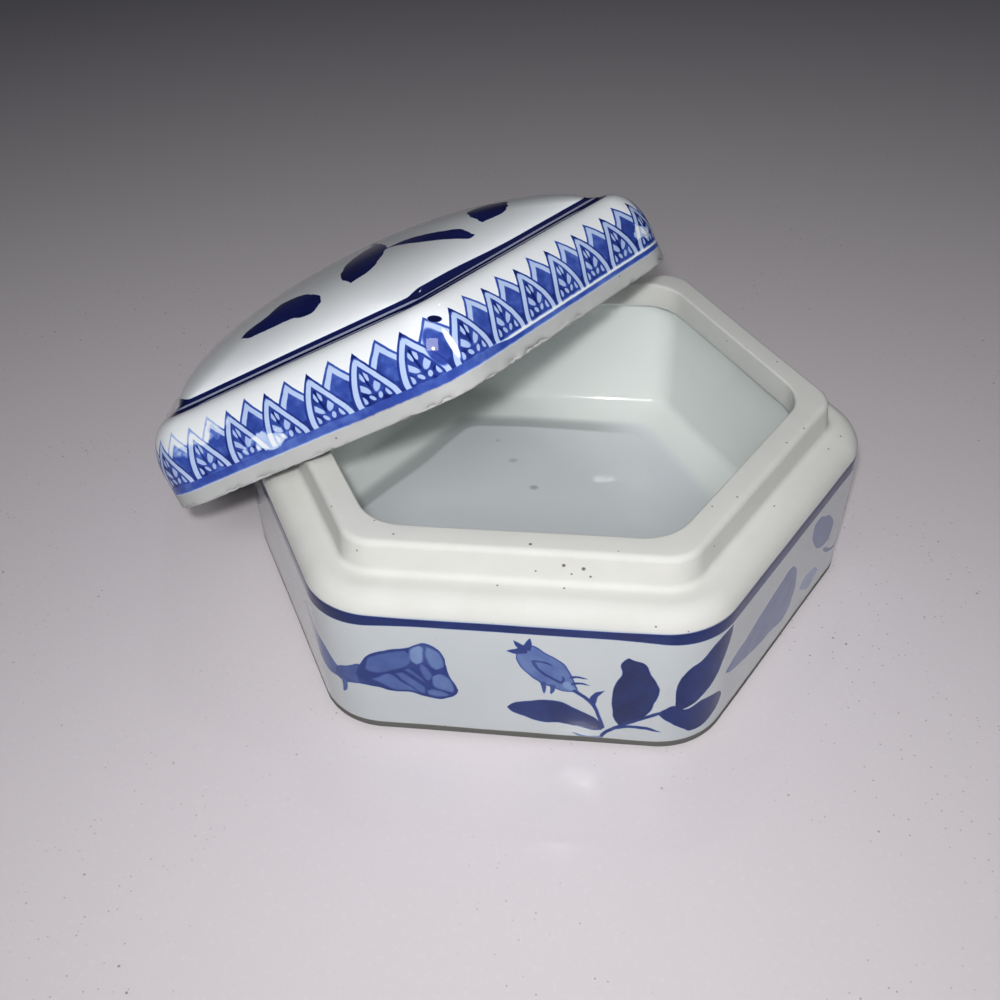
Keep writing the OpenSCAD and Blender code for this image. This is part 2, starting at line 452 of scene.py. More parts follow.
def pinholes(pits, place, holes, within):
    """Adds small burst bubbles, given as (x, y, radius), to the pits that are there."""
    for x, y, radius in holes:
        pits = pits.most(spot(place, x, y, radius, radius).step(1.2, 0.5) * within * 0.85)
    return pits


def specks(place, scale, size, core, few):
    """Scattered grains, at most one in each cell of 1/scale metres: size and core are
    the shares of a cell that a grain and its full colour take, and few picks the cells."""
    cells = place.add("ShaderNodeTexVoronoi", {"Vector": place, "Scale": scale})
    chosen = cells.add("ShaderNodeSeparateColor", {0: cells.out("Color")})
    return cells.step(size, core) * chosen.step(*few)


def porcelain(name):
    """A material, its shader and the surface's own place."""
    material = bpy.data.materials.new(name)
    material.use_nodes = True
    tree = material.node_tree
    place = Flow(tree).add("ShaderNodeTexCoord").out("Object")
    return material, tree.nodes["Principled BSDF"], place


CLEAN_CLAY = (210, 210, 205), (220, 220, 216)
# The first colour below darkens the foot: real dirt on the bare foot, with painted shade and a painted
# reflection of the dark contact under the heel.
DIRT_AND_SHADE, PIT, SPECK = (98, 99, 95), (48, 44, 40), (84, 78, 70)


def fire(shader, place, colour, bare, dirt_and_shade=0.0, pits=0.0, clay=CLEAN_CLAY, wave=0.7):
    """Joins a paint colour and the share of bare biscuit to the shader, with specks
    and grain. wave is how much the glaze ripples."""
    mottle = place.noise(260.0, 3.0)
    # Darkens the biscuit toward the foot's colour: real dirt and painted shade together.
    biscuit = mottle.between(*clay).colour(DIRT_AND_SHADE, dirt_and_shade).colour(PIT, pits)
    speck = specks(place, 500.0, 0.085, 0.045, (0.58, 0.6))
    colour = colour.colour(biscuit, bare).colour(SPECK, speck * (bare * 0.75 + 0.1))
    colour.feed(shader, "Base Color")
    rough = bare * 0.66 + mottle * 0.03 + 0.025
    rough.feed(shader, "Roughness")
    grain = (place.noise(2600.0) * bare * 0.5 + place.noise(110.0, 1.0) * wave
             + place.noise(380.0, 1.0) * wave * 0.12 - speck * 0.4)
    bump = grain.add("ShaderNodeBump", {"Height": grain, "Strength": 0.35, "Distance": 0.00006})
    bump.feed(shader, "Normal")
    shader.inputs["IOR"].default_value = 1.5
    shader.inputs["Specular IOR Level"].default_value = 0.36


# The painted wall: one spray of blossom, bud and leaves, brushed twice round the box.
# Each leaf: start, end, left edge, right edge, tone of its wash, tone of its outline
LEAVES = [
    # the blossom on its side: its stalk, its whole shape in the outline's tone, then each petal
    ((-30.5, 13.9), (-20.4, 8.6), [(-28, 13.9), (-24.5, 12.2), (-22.4, 10.2)],
     [(-28.0, 10.9), (-25.5, 8.0), (-22.5, 7.4)], 0.6, 0.66),
    ((-22.4, 7.5), (-16.4, 9.6), [(-21.6, 9.5), (-20.3, 10.2), (-18.6, 11.3)],
     [(-21.0, 7.2), (-19.2, 7.75), (-17.6, 8.0)], 0.66, 0.76),
    ((-19.0, 9.6), (-6.6, 8.2),
     [(-18.5, 10.9), (-17.9, 12.0), (-16.7, 13.5), (-14.6, 14.3), (-12.3, 15.0), (-11.2, 15.6),
      (-10.2, 15.9), (-9.1, 15.3), (-8.1, 13.9), (-7.8, 12.3), (-7.5, 10.3), (-6.9, 9.0)],
     [(-18.4, 7.9), (-16.5, 7.7), (-14.6, 7.2), (-12.4, 7.2), (-10.3, 6.6), (-9.2, 6.4),
      (-7.6, 6.8), (-6.9, 7.5)], 0.76, 0.84),
    ((-17.7, 10.9), (-11.9, 13.2), [(-16.6, 13.2), (-14.4, 13.95), (-12.5, 14.5)],
     [(-16.9, 10.4), (-15.1, 10.5), (-13.5, 11.1), (-12.3, 12.2)], 0.58, 0.66),
    ((-17.1, 9.1), (-11.2, 7.3), [(-16.0, 9.6), (-14.6, 10.2), (-13.4, 9.0), (-12.2, 8.0)],
     [(-15.6, 8.2), (-14.4, 7.5), (-12.6, 7.45)], 0.54, 0.62),
    ((-14.1, 10.4), (-10.6, 7.0), [(-13.0, 10.6), (-11.6, 9.3), (-10.7, 8.4)],
     [(-13.2, 9.2), (-12.1, 8.1), (-11.2, 7.3)], 0.56, 0.66),
    ((-13.0, 11.0), (-10.4, 8.9), [(-12.2, 11.3), (-11.0, 10.1)], [(-12.0, 10.3), (-11.0, 9.4)], 0.6, 0.68),
    ((-11.3, 12.2), (-10.9, 15.5), [(-12.05, 12.9), (-12.1, 14.0), (-11.9, 14.8)],
     [(-10.5, 12.9), (-10.4, 14.2), (-10.45, 15.2)], 0.4, 0.52),
    ((-10.1, 15.4), (-8.9, 11.5), [(-9.3, 15.0), (-8.3, 13.8), (-8.0, 12.4), (-8.3, 11.7)],
     [(-10.15, 14.0), (-9.8, 12.5), (-9.3, 11.7)], 0.5, 0.6),
    ((-10.9, 12.4), (-10.2, 9.4), [(-10.5, 12.2), (-9.7, 10.8), (-9.8, 9.9)],
     [(-10.9, 11.2), (-10.6, 9.9)], 0.56, 0.66),
    ((-9.7, 10.2), (-7.2, 7.7), [(-8.6, 10.8), (-8.0, 10.5), (-7.2, 8.9)],
     [(-9.7, 9.4), (-9.4, 8.4), (-8.2, 7.9)], 0.5, 0.62),
    ((-10.4, 7.7), (-7.6, 7.2), [(-9.4, 8.0), (-8.5, 7.8)],
     [(-10.0, 6.9), (-9.0, 6.8), (-8.0, 6.95)], 0.52, 0.64),
    # the bud
    ((0.3, 15.9), (7.7, 9.3), [(1.0, 16.5), (2.2, 16.7), (3.6, 15.7), (5.1, 14.7), (6.3, 13.1), (6.9, 11.4)],
     [(0.5, 14.0), (1.3, 12.4), (2.9, 10.8), (4.7, 9.8), (6.1, 9.3)], 0.5, 0.76),
    ((5.6, 10.9), (7.7, 9.3), [(6.4, 11.0), (7.0, 10.2)], [(6.0, 9.9), (6.9, 9.4)], 0.36, 0.42),
    # the long leaf, the oval leaf and the pair over the right corner
    ((-1.1, 5.95), (10.6, 2.7),
     [(-0.3, 6.6), (1.5, 7.2), (3.6, 7.55), (5.4, 7.4), (6.9, 6.6), (8.5, 5.6), (9.9, 4.5)],
     [(-0.5, 5.3), (1.1, 4.4), (3.3, 3.6), (5.4, 3.6), (7.2, 3.2), (9.2, 2.6)], 0.84, 0.86),
    ((12.5, 3.6), (13.1, 15.8),
     [(11.9, 4.9), (11.6, 6.7), (11.5, 9.2), (11.8, 11.4), (12.4, 13.1), (12.3, 14.4), (12.7, 15.3)],
     [(14.4, 4.8), (15.7, 6.4), (16.2, 7.8), (16.8, 10.3), (16.5, 11.5), (15.6, 13.3), (14.9, 14.8),
      (13.6, 15.4)], 0.92, 0.97),
    ((18.9, 6.9), (26.4, 17.6),
     [(18.8, 9.2), (18.9, 11.7), (19.8, 13.6), (21.5, 14.8), (23.6, 16.7), (24.9, 17.4)],
     [(20.6, 7.2), (22.75, 8.8), (24.1, 10.6), (25.2, 13.1), (26.1, 15.6)], 0.9, 0.95),
    ((16.6, 6.5), (26.2, 5.7), [(17.6, 7.2), (18.7, 7.8), (20.3, 6.8), (22.6, 7.5), (24.2, 7.3), (25.6, 6.6)],
     [(18.3, 4.8), (20.1, 3.4), (21.5, 2.5), (23.3, 2.7), (25.4, 4.1)], 0.88, 0.95),
    # leaves on the next side, painted paler for the sheen that side reflects: painted reflection
    ((25.8, 9.6), (46.0, 7.6),
     [(28.6, 10.4), (31, 10.8), (35.3, 12.1), (38.7, 12.9), (42.7, 13.6), (44.7, 12.1), (45.7, 9.6)],
     [(28.4, 7.9), (31, 7.2), (36, 5.7), (40, 5.0), (43, 4.0), (45.2, 5.0)], 0.62, 0.68),
    ((48.6, 16.4), (56.4, 8.6), [(50, 16.5), (52, 15.7), (54.7, 13.9), (56.8, 11.2)],
     [(48.9, 14.4), (49.7, 13.0), (51, 11.2), (53.4, 9.4)], 0.62, 0.68),
    ((48.0, 6.2), (54.6, 4.4), [(50.0, 7.0), (52.6, 6.2)], [(49.6, 4.4), (51.6, 3.2)], 0.34, 0.4),
    # a second spray beyond them
    ((62.0, 6.0), (75.0, 12.6), [(63.4, 9.4), (67.0, 12.2), (71.6, 13.6)],
     [(65.4, 5.8), (69.4, 7.6), (73.4, 10.4)], 0.86, 0.92),
    ((61.6, 5.0), (73.4, 3.4), [(64.6, 6.0), (68.4, 5.8), (71.4, 4.8)],
     [(64.6, 3.4), (68.0, 2.7), (71.4, 2.8)], 0.8, 0.86),
]
# Each pull of the brush: its points, its width and its tone, and the shares of its two ends
STROKES = [
    (((-21.0, 7.6), (-20.9, 6.6), (-21.3, 5.3)), 0.8, 0.6, (1.0, 0.3)),
    (((1.6, 15.9), (0.4, 15.6), (-0.8, 15.6)), 0.75, 0.76, (1.2, 0.05)),
    (((1.6, 15.9), (0.9, 16.4), (0.1, 17.4)), 0.75, 0.76, (1.2, 0.05)),
    (((1.5, 15.9), (1.7, 16.8), (1.9, 17.9)), 0.75, 0.76, (1.2, 0.05)),
    (((2.1, 14.2), (3.2, 14.1), (4.5, 13.5)), 0.26, 0.72, (1.0, 0.4)),
    (((2.2, 14.1), (3.0, 12.7), (4.3, 11.5), (5.6, 10.6)), 0.28, 0.72, (1.0, 0.8)),
    (((5.4, 10.6), (5.7, 11.2), (5.6, 12.0)), 0.28, 0.72, (1.0, 0.2)),
    (((6.4, 11.8), (7.4, 12.0), (8.6, 11.8)), 0.3, 0.7, (1.2, 0.1)),
    (((6.6, 10.7), (7.7, 11.0), (8.8, 10.8)), 0.3, 0.7, (1.2, 0.1)),
    (((3.4, 10.8), (3.5, 9.8), (3.5, 8.6)), 0.55, 0.66, (1.2, 0.1)),
    (((4.5, 10.4), (4.5, 9.6), (4.3, 8.6)), 0.55, 0.66, (1.2, 0.1)),
    (((6.9, 9.7), (8.3, 8.5), (9.4, 7.2)), 0.5, 0.72, (0.9, 0.9)),
    (((9.0, 8.0), (9.9, 5.6), (10.6, 3.0)), 0.42, 0.72, (1.0, 0.9)),
    (((9.1, 7.4), (9.6, 9.2), (10.6, 10.1)), 0.75, 0.72, (0.8, 0.05)),
    (((10.0, 1.2), (11.2, 2.7), (12.6, 3.8), (14.5, 4.9), (17.2, 6.7)), 0.5, 0.8, (0.6, 0.9)),
    (((11.6, 3.3), (13.6, 3.75), (15.4, 3.7), (17.6, 3.1)), 0.46, 0.76, (0.8, 0.1)),
    (((6.8, 1.9), (8.5, 1.3), (10.4, 1.3)), 0.4, 0.5, (0.3, 1.0)),
    (((54.6, 8.0), (58.4, 5.4), (62.6, 5.4)), 0.5, 0.7, (0.5, 0.8)),
    (((66.0, 8.6), (70.0, 10.8), (73.6, 12.4)), 0.2, 1.0, (0.5, 0.1)),
]
WALL_WHITE = (190, 197, 200), (201, 206, 208)
WALL_BLUES = ((0.0, (194, 202, 206)), (0.34, (122, 148, 190)), (0.54, (78, 101, 162)),
              (0.74, (32, 54, 124)), (0.9, (16, 38, 98)), (1.0, (8, 26, 80)))
SEAM_TO_SPRAY, SPRAY_TO_FRONT = 145.03, 42.86    # they put round_mm 0 at the middle of the front
LINE_Z, GLAZE_ENDS = 18.95, (19.75, 20.15)
FRONT_PITS = (5.3, 24.9, 0.24), (7.5, 24.6, 0.26), (6.2, 23.8, 0.14), (8.3, 23.6, 0.16), (2.2, 23.9, 0.13)

wall_paint, shader, place = porcelain("painted_wall")
uv = place.add("ShaderNodeTexCoord").out("UV").split()
height = place.split().out(2) * MM
round_mm = (uv * (2 * HALF_ROUND) + SEAM_TO_SPRAY) % HALF_ROUND - SPRAY_TO_FRONT
wall = trembling(sheet(round_mm, height), place, 0.55)
streak = place.noise(420.0, 3.0)
wash = place.noise(150.0)
ink = brushed(uv * 0.0, wall, LEAVES, STROKES, (-0.14, 0.1), (0.04, 0.26), (-0.1, 0.09))
ink = ink * (streak * 0.34 + wash * 0.34 + 0.66)

# The line where the glaze ends, drawn on the turning wheel and thicker at the corners
tremble = (place.noise(55.0) - 0.5) * 0.5
slim = abs(round_mm).step(25.0, 10.0)
edge = height - tremble * 0.5
rule = (abs(edge - LINE_Z - slim * 0.15) + slim * 0.46).step(1.14, 0.94)
ink = ink.most(rule * (wash * 0.24 + 0.8))
white = place.noise(90.0).between(*WALL_WHITE)
# Below the line on the next side the ink is thinned a little more: a painted reflection of the sheen there.
next_side_sheen = (round_mm - 26.5).step(0.0, 3.0) * height.step(18.0, 17.6)
colour = white.colour(ink.tones(*WALL_BLUES), ink.step(0.02, 0.3) * (1.0 - next_side_sheen * 0.15))
# A dark grey band along the foot, 1.5 mm high: partly the bare foot's dirt, partly painted shade and painted
# reflection where the heel turns down to the table.
foot_dirt_and_shade = (height + (wash - 0.5) * 0.4).step(1.5, 1.2)
bare = edge.step(*GLAZE_ENDS).most(foot_dirt_and_shade)
front_face = place.split().out(1).step(-0.030, -0.031)
pits = pinholes(height * 0.0, sheet(place.split() * MM, height), FRONT_PITS, front_face)
fire(shader, place, colour, bare, foot_dirt_and_shade, pits)

# Inside: bare collar and ledge, and below the mouth's bare band the glazed well
WELL_GLAZE = (226, 231, 228), (211, 215, 219)
# The first colour below is a painted shade for the crease at the foot of the well.
CREASE_SHADE, SMUDGE = (140, 147, 144), (120, 124, 120)
SMUDGES = (-1.8, 8.35, 0.75, 0.55), (-5.7, 14.95, 0.8, 0.35), (-8.7, 20.1, 0.5, 0.25)
TOP_PITS = ((1.5, -31.9, 0.22), (19.7, -31.0, 0.17), (11.2, -32.3, 0.13), (-14.0, -31.5, 0.15),
            (24.6, -21.6, 0.14))

well_glaze, shader, place = porcelain("collar_and_well")
parts = place.split()
height = parts.out(2) * MM
# A darker greenish band along the crease where the slope meets the floor, on the left and back only: painted
# shade.
crease_shade = height.step(3.1, 2.75) * height.step(2.6, 2.66) * (parts * MM).step(16.0, 4.0)
ragged = (place.noise(260.0) - 0.5) * 0.9
bare = (height + ragged).step(22.6, 23.1)
glaze = height.step(3.1, 2.6).between(*WELL_GLAZE).colour(CREASE_SHADE, crease_shade * 0.6)
from_above = place.vector("MULTIPLY", (MM, MM, 0.0))
for x, y, size, strength in SMUDGES:
    smudge = spot(from_above, x, y, size, size * 0.8).step(1.3, 0.3)
    glaze = glaze.colour(SMUDGE, smudge * height.step(3.2, 2.8) * strength)
pits = pinholes(height * 0.0, from_above, TOP_PITS, height.step(26.0, 26.4))
fire(shader, place, glaze, bare, pits=pits, wave=2.6)

# The profile, from the middle of the foot up the outside, over the collar and down into the well
foot = line(0, 0, FOOT_A - FOOT_EDGE, 0, 8)
foot += [(FOOT_A - FOOT_EDGE, 0.0), (FOOT_A, FOOT_H / 3), (FOOT_A, FOOT_H)]
heel = arc(BASE_A - HEEL_R, FOOT_H + HEEL_R, HEEL_R, HEEL_R, -90, 0, 8)
wall_line = line(BASE_A, FOOT_H + HEEL_R, BOX_A, WALL_TOP, 26)[1:]
shoulder = arc(BOX_A - SHOULDER_REACH, WALL_TOP, SHOULDER_REACH, SHOULDER_H, 0, 90, 14)
fillet = arc(COLLAR_A + LEDGE_FILLET, LEDGE_Z + LEDGE_FILLET, LEDGE_FILLET, LEDGE_FILLET, -90, -180, 6)
collar = [((COLLAR_A + COLLAR_TOP_A) / 2, COLLAR_MIDDLE_Z)]
collar += arc(COLLAR_TOP_A - COLLAR_EDGE, COLLAR_Z - COLLAR_EDGE, COLLAR_EDGE, COLLAR_EDGE, 0, 90, 8)
outside = foot + heel + wall_line + shoulder + [(LEDGE_MIDDLE_A, LEDGE_Z)] + fillet + collar
lip = [(LIP_A, COLLAR_Z)]
lip += arc(MOUTH_A + MOUTH_EDGE, COLLAR_Z - MOUTH_EDGE, MOUTH_EDGE, MOUTH_EDGE, 90, 180, 8)
lip += [(MOUTH_A, MOUTH_MIDDLE_Z)] + ease(MOUTH_A, BAND_Z, WELL_A, WELL_Z, 12)
cove = arc(WELL_A - COVE_R, COVE_Z + COVE_R, COVE_R, COVE_R, 0, -70, 10)
slope_ends = Vector(cove[-1]).lerp(Vector((FLOOR_A, FLOOR_Z)), 0.4)
cove += bend(slope_ends, (FLOOR_A, FLOOR_Z), (FLOOR_A - FLOOR_EASE, FLOOR_Z), 10)
floor = line(FLOOR_A - FLOOR_EASE, FLOOR_Z, 0, FLOOR_Z, 10)[1:] + [(0.0, FLOOR_Z)]
well = [(WELL_A, WELL_MIDDLE_Z)] + cove + floor
box_profile = with_corners(outside, outer_corner)
box_profile += with_corners(lip, mouth_corner) + with_corners(well, well_corner)

shell_tree = hexagon_shell()
box = raise_shell("box_porcelain", shell_tree, box_profile, {
    "Corner steps": CORNER_STEPS, "Side steps": BOX_SIDE_STEPS, "First corner": math.radians(FIRST_CORNER),
    "Split at": travel(box_profile)[len(outside) - 1], "Lower finish": wall_paint, "Upper finish": well_glaze,
})
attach(box, "box")
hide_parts("box")


# The lid
# A second casting: a skirt that drops over the collar, a low step and a dome.
# It is loose, and here it leans on the collar with its low edge just off the table.
LID_CLEARANCE = 0.3
LID_A, HOLLOW_A, SKIRT_H = BOX_A - 1.5, COLLAR_A + LID_CLEARANCE, 11.1
LID_EDGE_REACH, LID_EDGE_H = 4.3, 6.4
RIM_R, RIM_POINTS = 0.4, (34.6, 35.4)
STEP_A, STEP_POINTS = 32.2, ((0.6, 11.3), (1.2, 11.55))
DOME_A, DOME_Z, DOME_H = 30.4, 11.8, 7.2
DOME_FULL = 1.65                # 2 would be an ellipse, and less is flatter near the edge
HOLLOW_H, HOLLOW_WALL, HOLLOW_COVE = 8.6, 7.2, 2.4
CEILING_A, CEILING_RISE = 31.4, 7.0
LID_SIDE_STEPS = 63
# In metres: how deep a chip goes, and how far along the profile from the rim's flat
# the chips are and the paint begins
CHIP_DEPTH, CHIPS_AT, PAINT_AT = 0.0007, 0.0019, -0.0007
# The lean, the way that it leans, the lid's own turn in it, and the place of its middle
LID_LEAN, LID_DIRECTION, LID_TURN = 32.0999, 147.0, -150
LID_PLACE = Vector((-20.7529, 13.3578, 19.4446)) / MM


def dome(a, a0, h, full):
    """Height of a dome h high and a0 wide, at this distance from the axis."""
    return h * max(0.0, 1 - (a / a0) ** 2) ** (1 / full)


def domed_corner(a, a0):
    """Corner radius on a dome, which is six-sided at its foot and round at its top."""
    r, s = outer_corner(a0), min(1.0, max(0.0, 1 - a / a0))
    return min(0.97 * a, r + (0.97 * a - r) * s ** 0.4)


ceiling = [CEILING_A * i / 20 for i in range(21)]
hollow = [(a, domed_corner(a, HOLLOW_A) if a else 0.0, HOLLOW_H + dome(a, HOLLOW_A, CEILING_RISE, DOME_FULL))
          for a in ceiling]
lower = arc(CEILING_A, HOLLOW_WALL, HOLLOW_COVE, HOLLOW_COVE, 50, 0, 6)
lower += line(HOLLOW_A, HOLLOW_WALL, HOLLOW_A, RIM_R, 6)[1:]
lower += arc(HOLLOW_A + RIM_R, RIM_R, RIM_R, RIM_R, 180, 270, 6)
lower = [(a, domed_corner(a, HOLLOW_A), z) for a, z in lower]
skirt = [(a, 0.0) for a in RIM_POINTS] + arc(LID_A - RIM_R, RIM_R, RIM_R, RIM_R, -90, 0, 8)
skirt += line(LID_A, RIM_R, LID_A, SKIRT_H - LID_EDGE_H, 9)[1:]
skirt += arc(STEP_A, SKIRT_H - LID_EDGE_H, LID_EDGE_REACH, LID_EDGE_H, 0, 90, 22)
skirt = [(a, outer_corner(a), z) for a, z in skirt]
crown = [(STEP_A - inward, z) for inward, z in STEP_POINTS]
crown += [(DOME_A * math.cos(t), DOME_Z + dome(DOME_A * math.cos(t), DOME_A, DOME_H, DOME_FULL))
          for t in [math.radians(90 * i / 30) for i in range(30)]]
crown = [(a, domed_corner(a, DOME_A) if a <= DOME_A else outer_corner(a), z) for a, z in crown]
crown += [(0.0, 0.0, DOME_Z + DOME_H)]
lid_profile = hollow + lower + skirt + crown

# The printed border: tall lappets with a veined leaf in each, and a second row behind.
# round_mm goes round the skirt from about the lid's left corner. The lappets of the two
# near sides stand where KNOTS says, and the rest of the 41 are evenly spaced.
LID_ROUND, SEAM_TO_BORDER = 247.72, 113.63
LAPPETS = 41
KNOTS = [0, 5.9, 11.7, 17.9, 24.4, 30.9, 38.6, 44.4, 50.3, 56.3, 61.8, 67.9, 74.3]
# Ovals: place, height, half width, half height, and turn in degrees
RIBS = (0.84, 5.15, 0.36, 0.86, -38), (1.62, 4.0, 0.36, 0.56, -20), (0.5, 3.9, 0.24, 0.4, -30)
SMEARED, SKIP_AND_GLINT = (34.5, 6.2, 1.25, 2.3, 6), (36.3, 5.7, 0.45, 2.1, 4)
NEAR_MISS, FAR_MISS = (9.8, 4.3, 2.6, 1.15), (73.2, 5.3, 1.5, 1.3)
DROP = (36.0, 8.95, 0.85, 0.42)

lid_paint, shader, place = porcelain("painted_lid")
uv = place.add("ShaderNodeTexCoord").out("UV").split()
own = place.add("ShaderNodeAttribute", attribute_name="own_place").out("Vector").vector("SCALE", scale=MM)
height = own.split().out(2)
wash = place.noise(150.0)
streak = place.noise(700.0, 3.0)
blotch = place.noise(620.0)
round_mm = (uv * LID_ROUND + SEAM_TO_BORDER) % LID_ROUND
jitter = (place.noise(900.0) - 0.5) * 0.3
spacing = [(k / LID_ROUND, i / LAPPETS) for i, k in enumerate(KNOTS)] + [(1.0, 1.0)]
phase = (round_mm / LID_ROUND).curve(spacing, "VECTOR") * LAPPETS
lean_here = round_mm.step(38.6, 31.0).most(round_mm.step(236.0, 243.0)) * 0.028


def mirrored(shift):
    """Distance from the nearest lappet's middle line."""
    return abs((phase + shift - (9.4 - height) * lean_here + 0.5) % 1.0 - 0.5) * 6.0


print_z = height + jitter * 0.8
rise = ((print_z - 3.45) / 5.9).most(0.0)
aside = mirrored(jitter * 0.05)
front = (1.0 - aside / 3.0 - rise ** 1.4) * 2.66
behind = (0.8 * (9.7 - print_z) - mirrored(0.5)) * 0.78
patch = (blotch * 0.5 + 0.36) * behind.step(0.78, 0.98)
valley = mirrored(0.5).step(0.75, 0.3) * print_z.step(5.4, 4.2)
chevron = behind.step(0.16, 0.26).toward(0.66, 0.0) * 0.12 + behind.step(0.32, 0.18) * 0.62
print_ink = (chevron.most(patch).most(valley * 0.9)) * behind.step(-0.06, 0.06)

# Inside each lappet, a leaf with its middle vein and the ribs that rise from it
leaf_side = sheet(aside, print_z)
pale = spot(leaf_side, 0.3, 6.5, 0.2, 0.62, -6).step(1.25, 0.85)
for rib in RIBS:
    pale = pale.most(spot(leaf_side, *rib).step(1.25, 0.85))
vein = aside.step(0.2, 0.06) * print_z.step(7.6, 7.0) * print_z.step(4.4, 5.0)
arches = abs(print_z - 4.55 + abs(aside - 1.55) * 0.7).step(0.24, 0.1) * aside.step(0.75, 1.0)
dense = round_mm.step(11.0, 17.0) * 0.14 + 0.5
leafy = ((dense + vein * 0.26).most(arches * 0.8) + (blotch - 0.5) * 0.9) * (1.0 - pale) + pale * 0.05
tip = front.step(0.46, 0.3) * print_z.step(8.3, 8.9)
mark = front.step(0.3, 0.2) * 0.7 + front.step(0.82, 0.92) * front.step(1.2, 1.06) * 0.66
mark = mark.most(front.step(1.02, 1.14) * leafy).most(tip * 0.9) + 0.12
print_ink = print_ink.toward(mark, front.step(-0.05, 0.05))
print_ink = print_ink * print_z.step(2.9, 3.3)

# The front corner, where the print is smeared and then skips, and the line below the lappets. The skipped
# strip is partly a real gap in the print and partly a painted highlight where a glint lies.
printed = sheet(round_mm, height + jitter)
print_ink = print_ink.most(spot(printed, *SMEARED).step(1.15, 0.85) * (blotch * 0.5 + 0.42))
print_ink = print_ink * spot(printed, *SKIP_AND_GLINT).step(0.75, 1.1)
thin = round_mm.step(40.0, 45.0) * round_mm.step(236.0, 230.0)
line_top = 3.24 - thin * 0.5
line_low = 2.1 - abs(round_mm - 28.0).step(9.0, 3.0) * 0.5
line_z = height + jitter * 0.3
line_ink = (line_z - line_low).step(-0.2, 0.25) * (line_top - height - jitter * 0.3).step(-0.06, 0.12)
print_ink = print_ink.most(line_ink * (wash * 0.3 + 0.42))

# Where the transfer missed: a bare patch near each end of the near sides, and faint tops
x, z, half_width, half_height = NEAR_MISS
from_patch = sheet((round_mm - x) / half_width, (height - z) / half_height)
missed = (from_patch.length() + (blotch - 0.5) * 2.4 + jitter).step(0.8, 1.2)
missed = missed.least((spot(printed, *FAR_MISS) + (blotch - 0.5) * 2.4).step(0.8, 1.2))
missed = missed.most(1.0 - height.past(2.9))
print_ink = print_ink * (missed * 0.84 + 0.16)
fading = height - 6.6 + round_mm.step(7.0, 1.0) * 1.4 + round_mm.step(240.0, 247.0) * 1.4
fading = fading + (blotch - 0.5) * 5.0
faded = fading.step(1.2, 2.6) * (1.0 - (round_mm - 4.0).step(0.0, 5.0) * (242.0 - round_mm).step(0.0, 5.0))
print_ink = print_ink * (1.0 - faded * 0.75) * (streak * 0.6 + wash * 0.4 + 0.52)

# The two rules round the foot of the dome, with a paler ribbon between
swell = (41.0 - round_mm).step(6.4, 3.4) * (round_mm - 41.0).step(17.0, 0.0)
swell = swell + abs(round_mm - 236.0).step(9.0, 3.0)
shaky = (place.noise(70.0) - 0.5) * 0.12
upper_rule = (abs(height - 11.8 - shaky - swell * 0.14) - swell * 0.24).step(0.28, 0.2)
lower_rule = abs(height - 11.2 - shaky).step(0.2, 0.13)
ribbon = abs(height - 11.5).step(0.3, 0.2)
rules = upper_rule.most(lower_rule) * 0.96


def oval(start, end, width, *tones):
    """A leaf for the list below whose two edges swell alike from start to end."""
    start, end = Vector(start), Vector(end)
    along = (end - start).normalized()
    across = Vector((-along.y, along.x)) * width / 2
    shares = 0.03, 0.1, 0.25, 0.45, 0.65, 0.85, 0.96
    spine = [(start.lerp(end, u), math.sin(math.pi * u) ** 0.8) for u in shares]
    return (start, end, [p + across * w for p, w in spine], [p - across * w for p, w in spine], *tones)


# The spray on the dome: four leaves on the near half, and blossom and leaves on the far half
CROWN_LEAVES = [
    ((-8.9, -23.8), (4.4, -24.6),
     [(-8.2, -22.0), (-5.8, -20.2), (-4.0, -17.9), (-0.6, -18.6), (2.0, -20.8), (3.9, -23.2)],
     [(-6.1, -24.9), (-3.9, -24.9), (-0.3, -25.3), (3.0, -26.2)], 0.94, 1.0),
    ((8.2, -23.0), (6.6, -5.2), [(5.8, -19.5), (4.8, -16.5), (4.5, -12.5), (5.2, -8)],
     [(10.2, -21.1), (10.9, -18.1), (10.4, -13.3), (8.7, -8.5)], 0.94, 1.0),
    ((10.0, -12.8), (23.2, -14.6), [(12.1, -11.2), (14.2, -10.7), (16.9, -11.3), (20, -12.0)],
     [(12.5, -13.2), (15.3, -14.6), (19.2, -15.4), (21.9, -16.0)], 0.88, 0.98),
    ((23.2, -10.8), (21.6, 1.0), [(20.8, -6.5), (19.8, -3)], [(25.6, -6.3), (25.0, -1.5)], 0.94, 1.0),
    oval((-12.0, 2.0), (-1.4, 9.6), 7.2, 0.6, 0.86),
    oval((-4.4, 3.6), (6.2, 10.2), 6.2, 0.54, 0.86),
    oval((-6.2, 2.8), (-0.4, 14.8), 5.8, 0.5, 0.86),
    oval((-15.6, -0.6), (-23.8, -12.8), 5.0, 0.94, 1.0),
    oval((11.6, 14.4), (22.4, 7.8), 4.6, 0.9, 1.0),
    oval((-10.2, 15.6), (-1.6, 25.2), 5.0, 0.94, 1.0),
    oval((8.8, 16.6), (11.2, 26.2), 4.4, 0.56, 0.84),
]
CROWN_STROKES = [
    (((6.6, -6.0), (4.0, -1.0), (-2.0, 3.6)), 0.7, 0.9),
    (((10.6, -13.0), (8.6, -10.0), (6.2, -5.2)), 0.7, 0.9),
    (((21.6, 0.0), (14.0, 3.0), (5.0, 7.4)), 0.6, 0.9),
    (((-16.0, -1.4), (-13.0, 1.2), (-10.0, 3.0)), 0.7, 0.9),
    (((-1.2, 12.6), (4.6, 15.6), (10.0, 15.2)), 0.6, 0.9),
    (((-3.0, 13.0), (-5.8, 15.2), (-8.8, 17.0)), 0.6, 0.9),
]
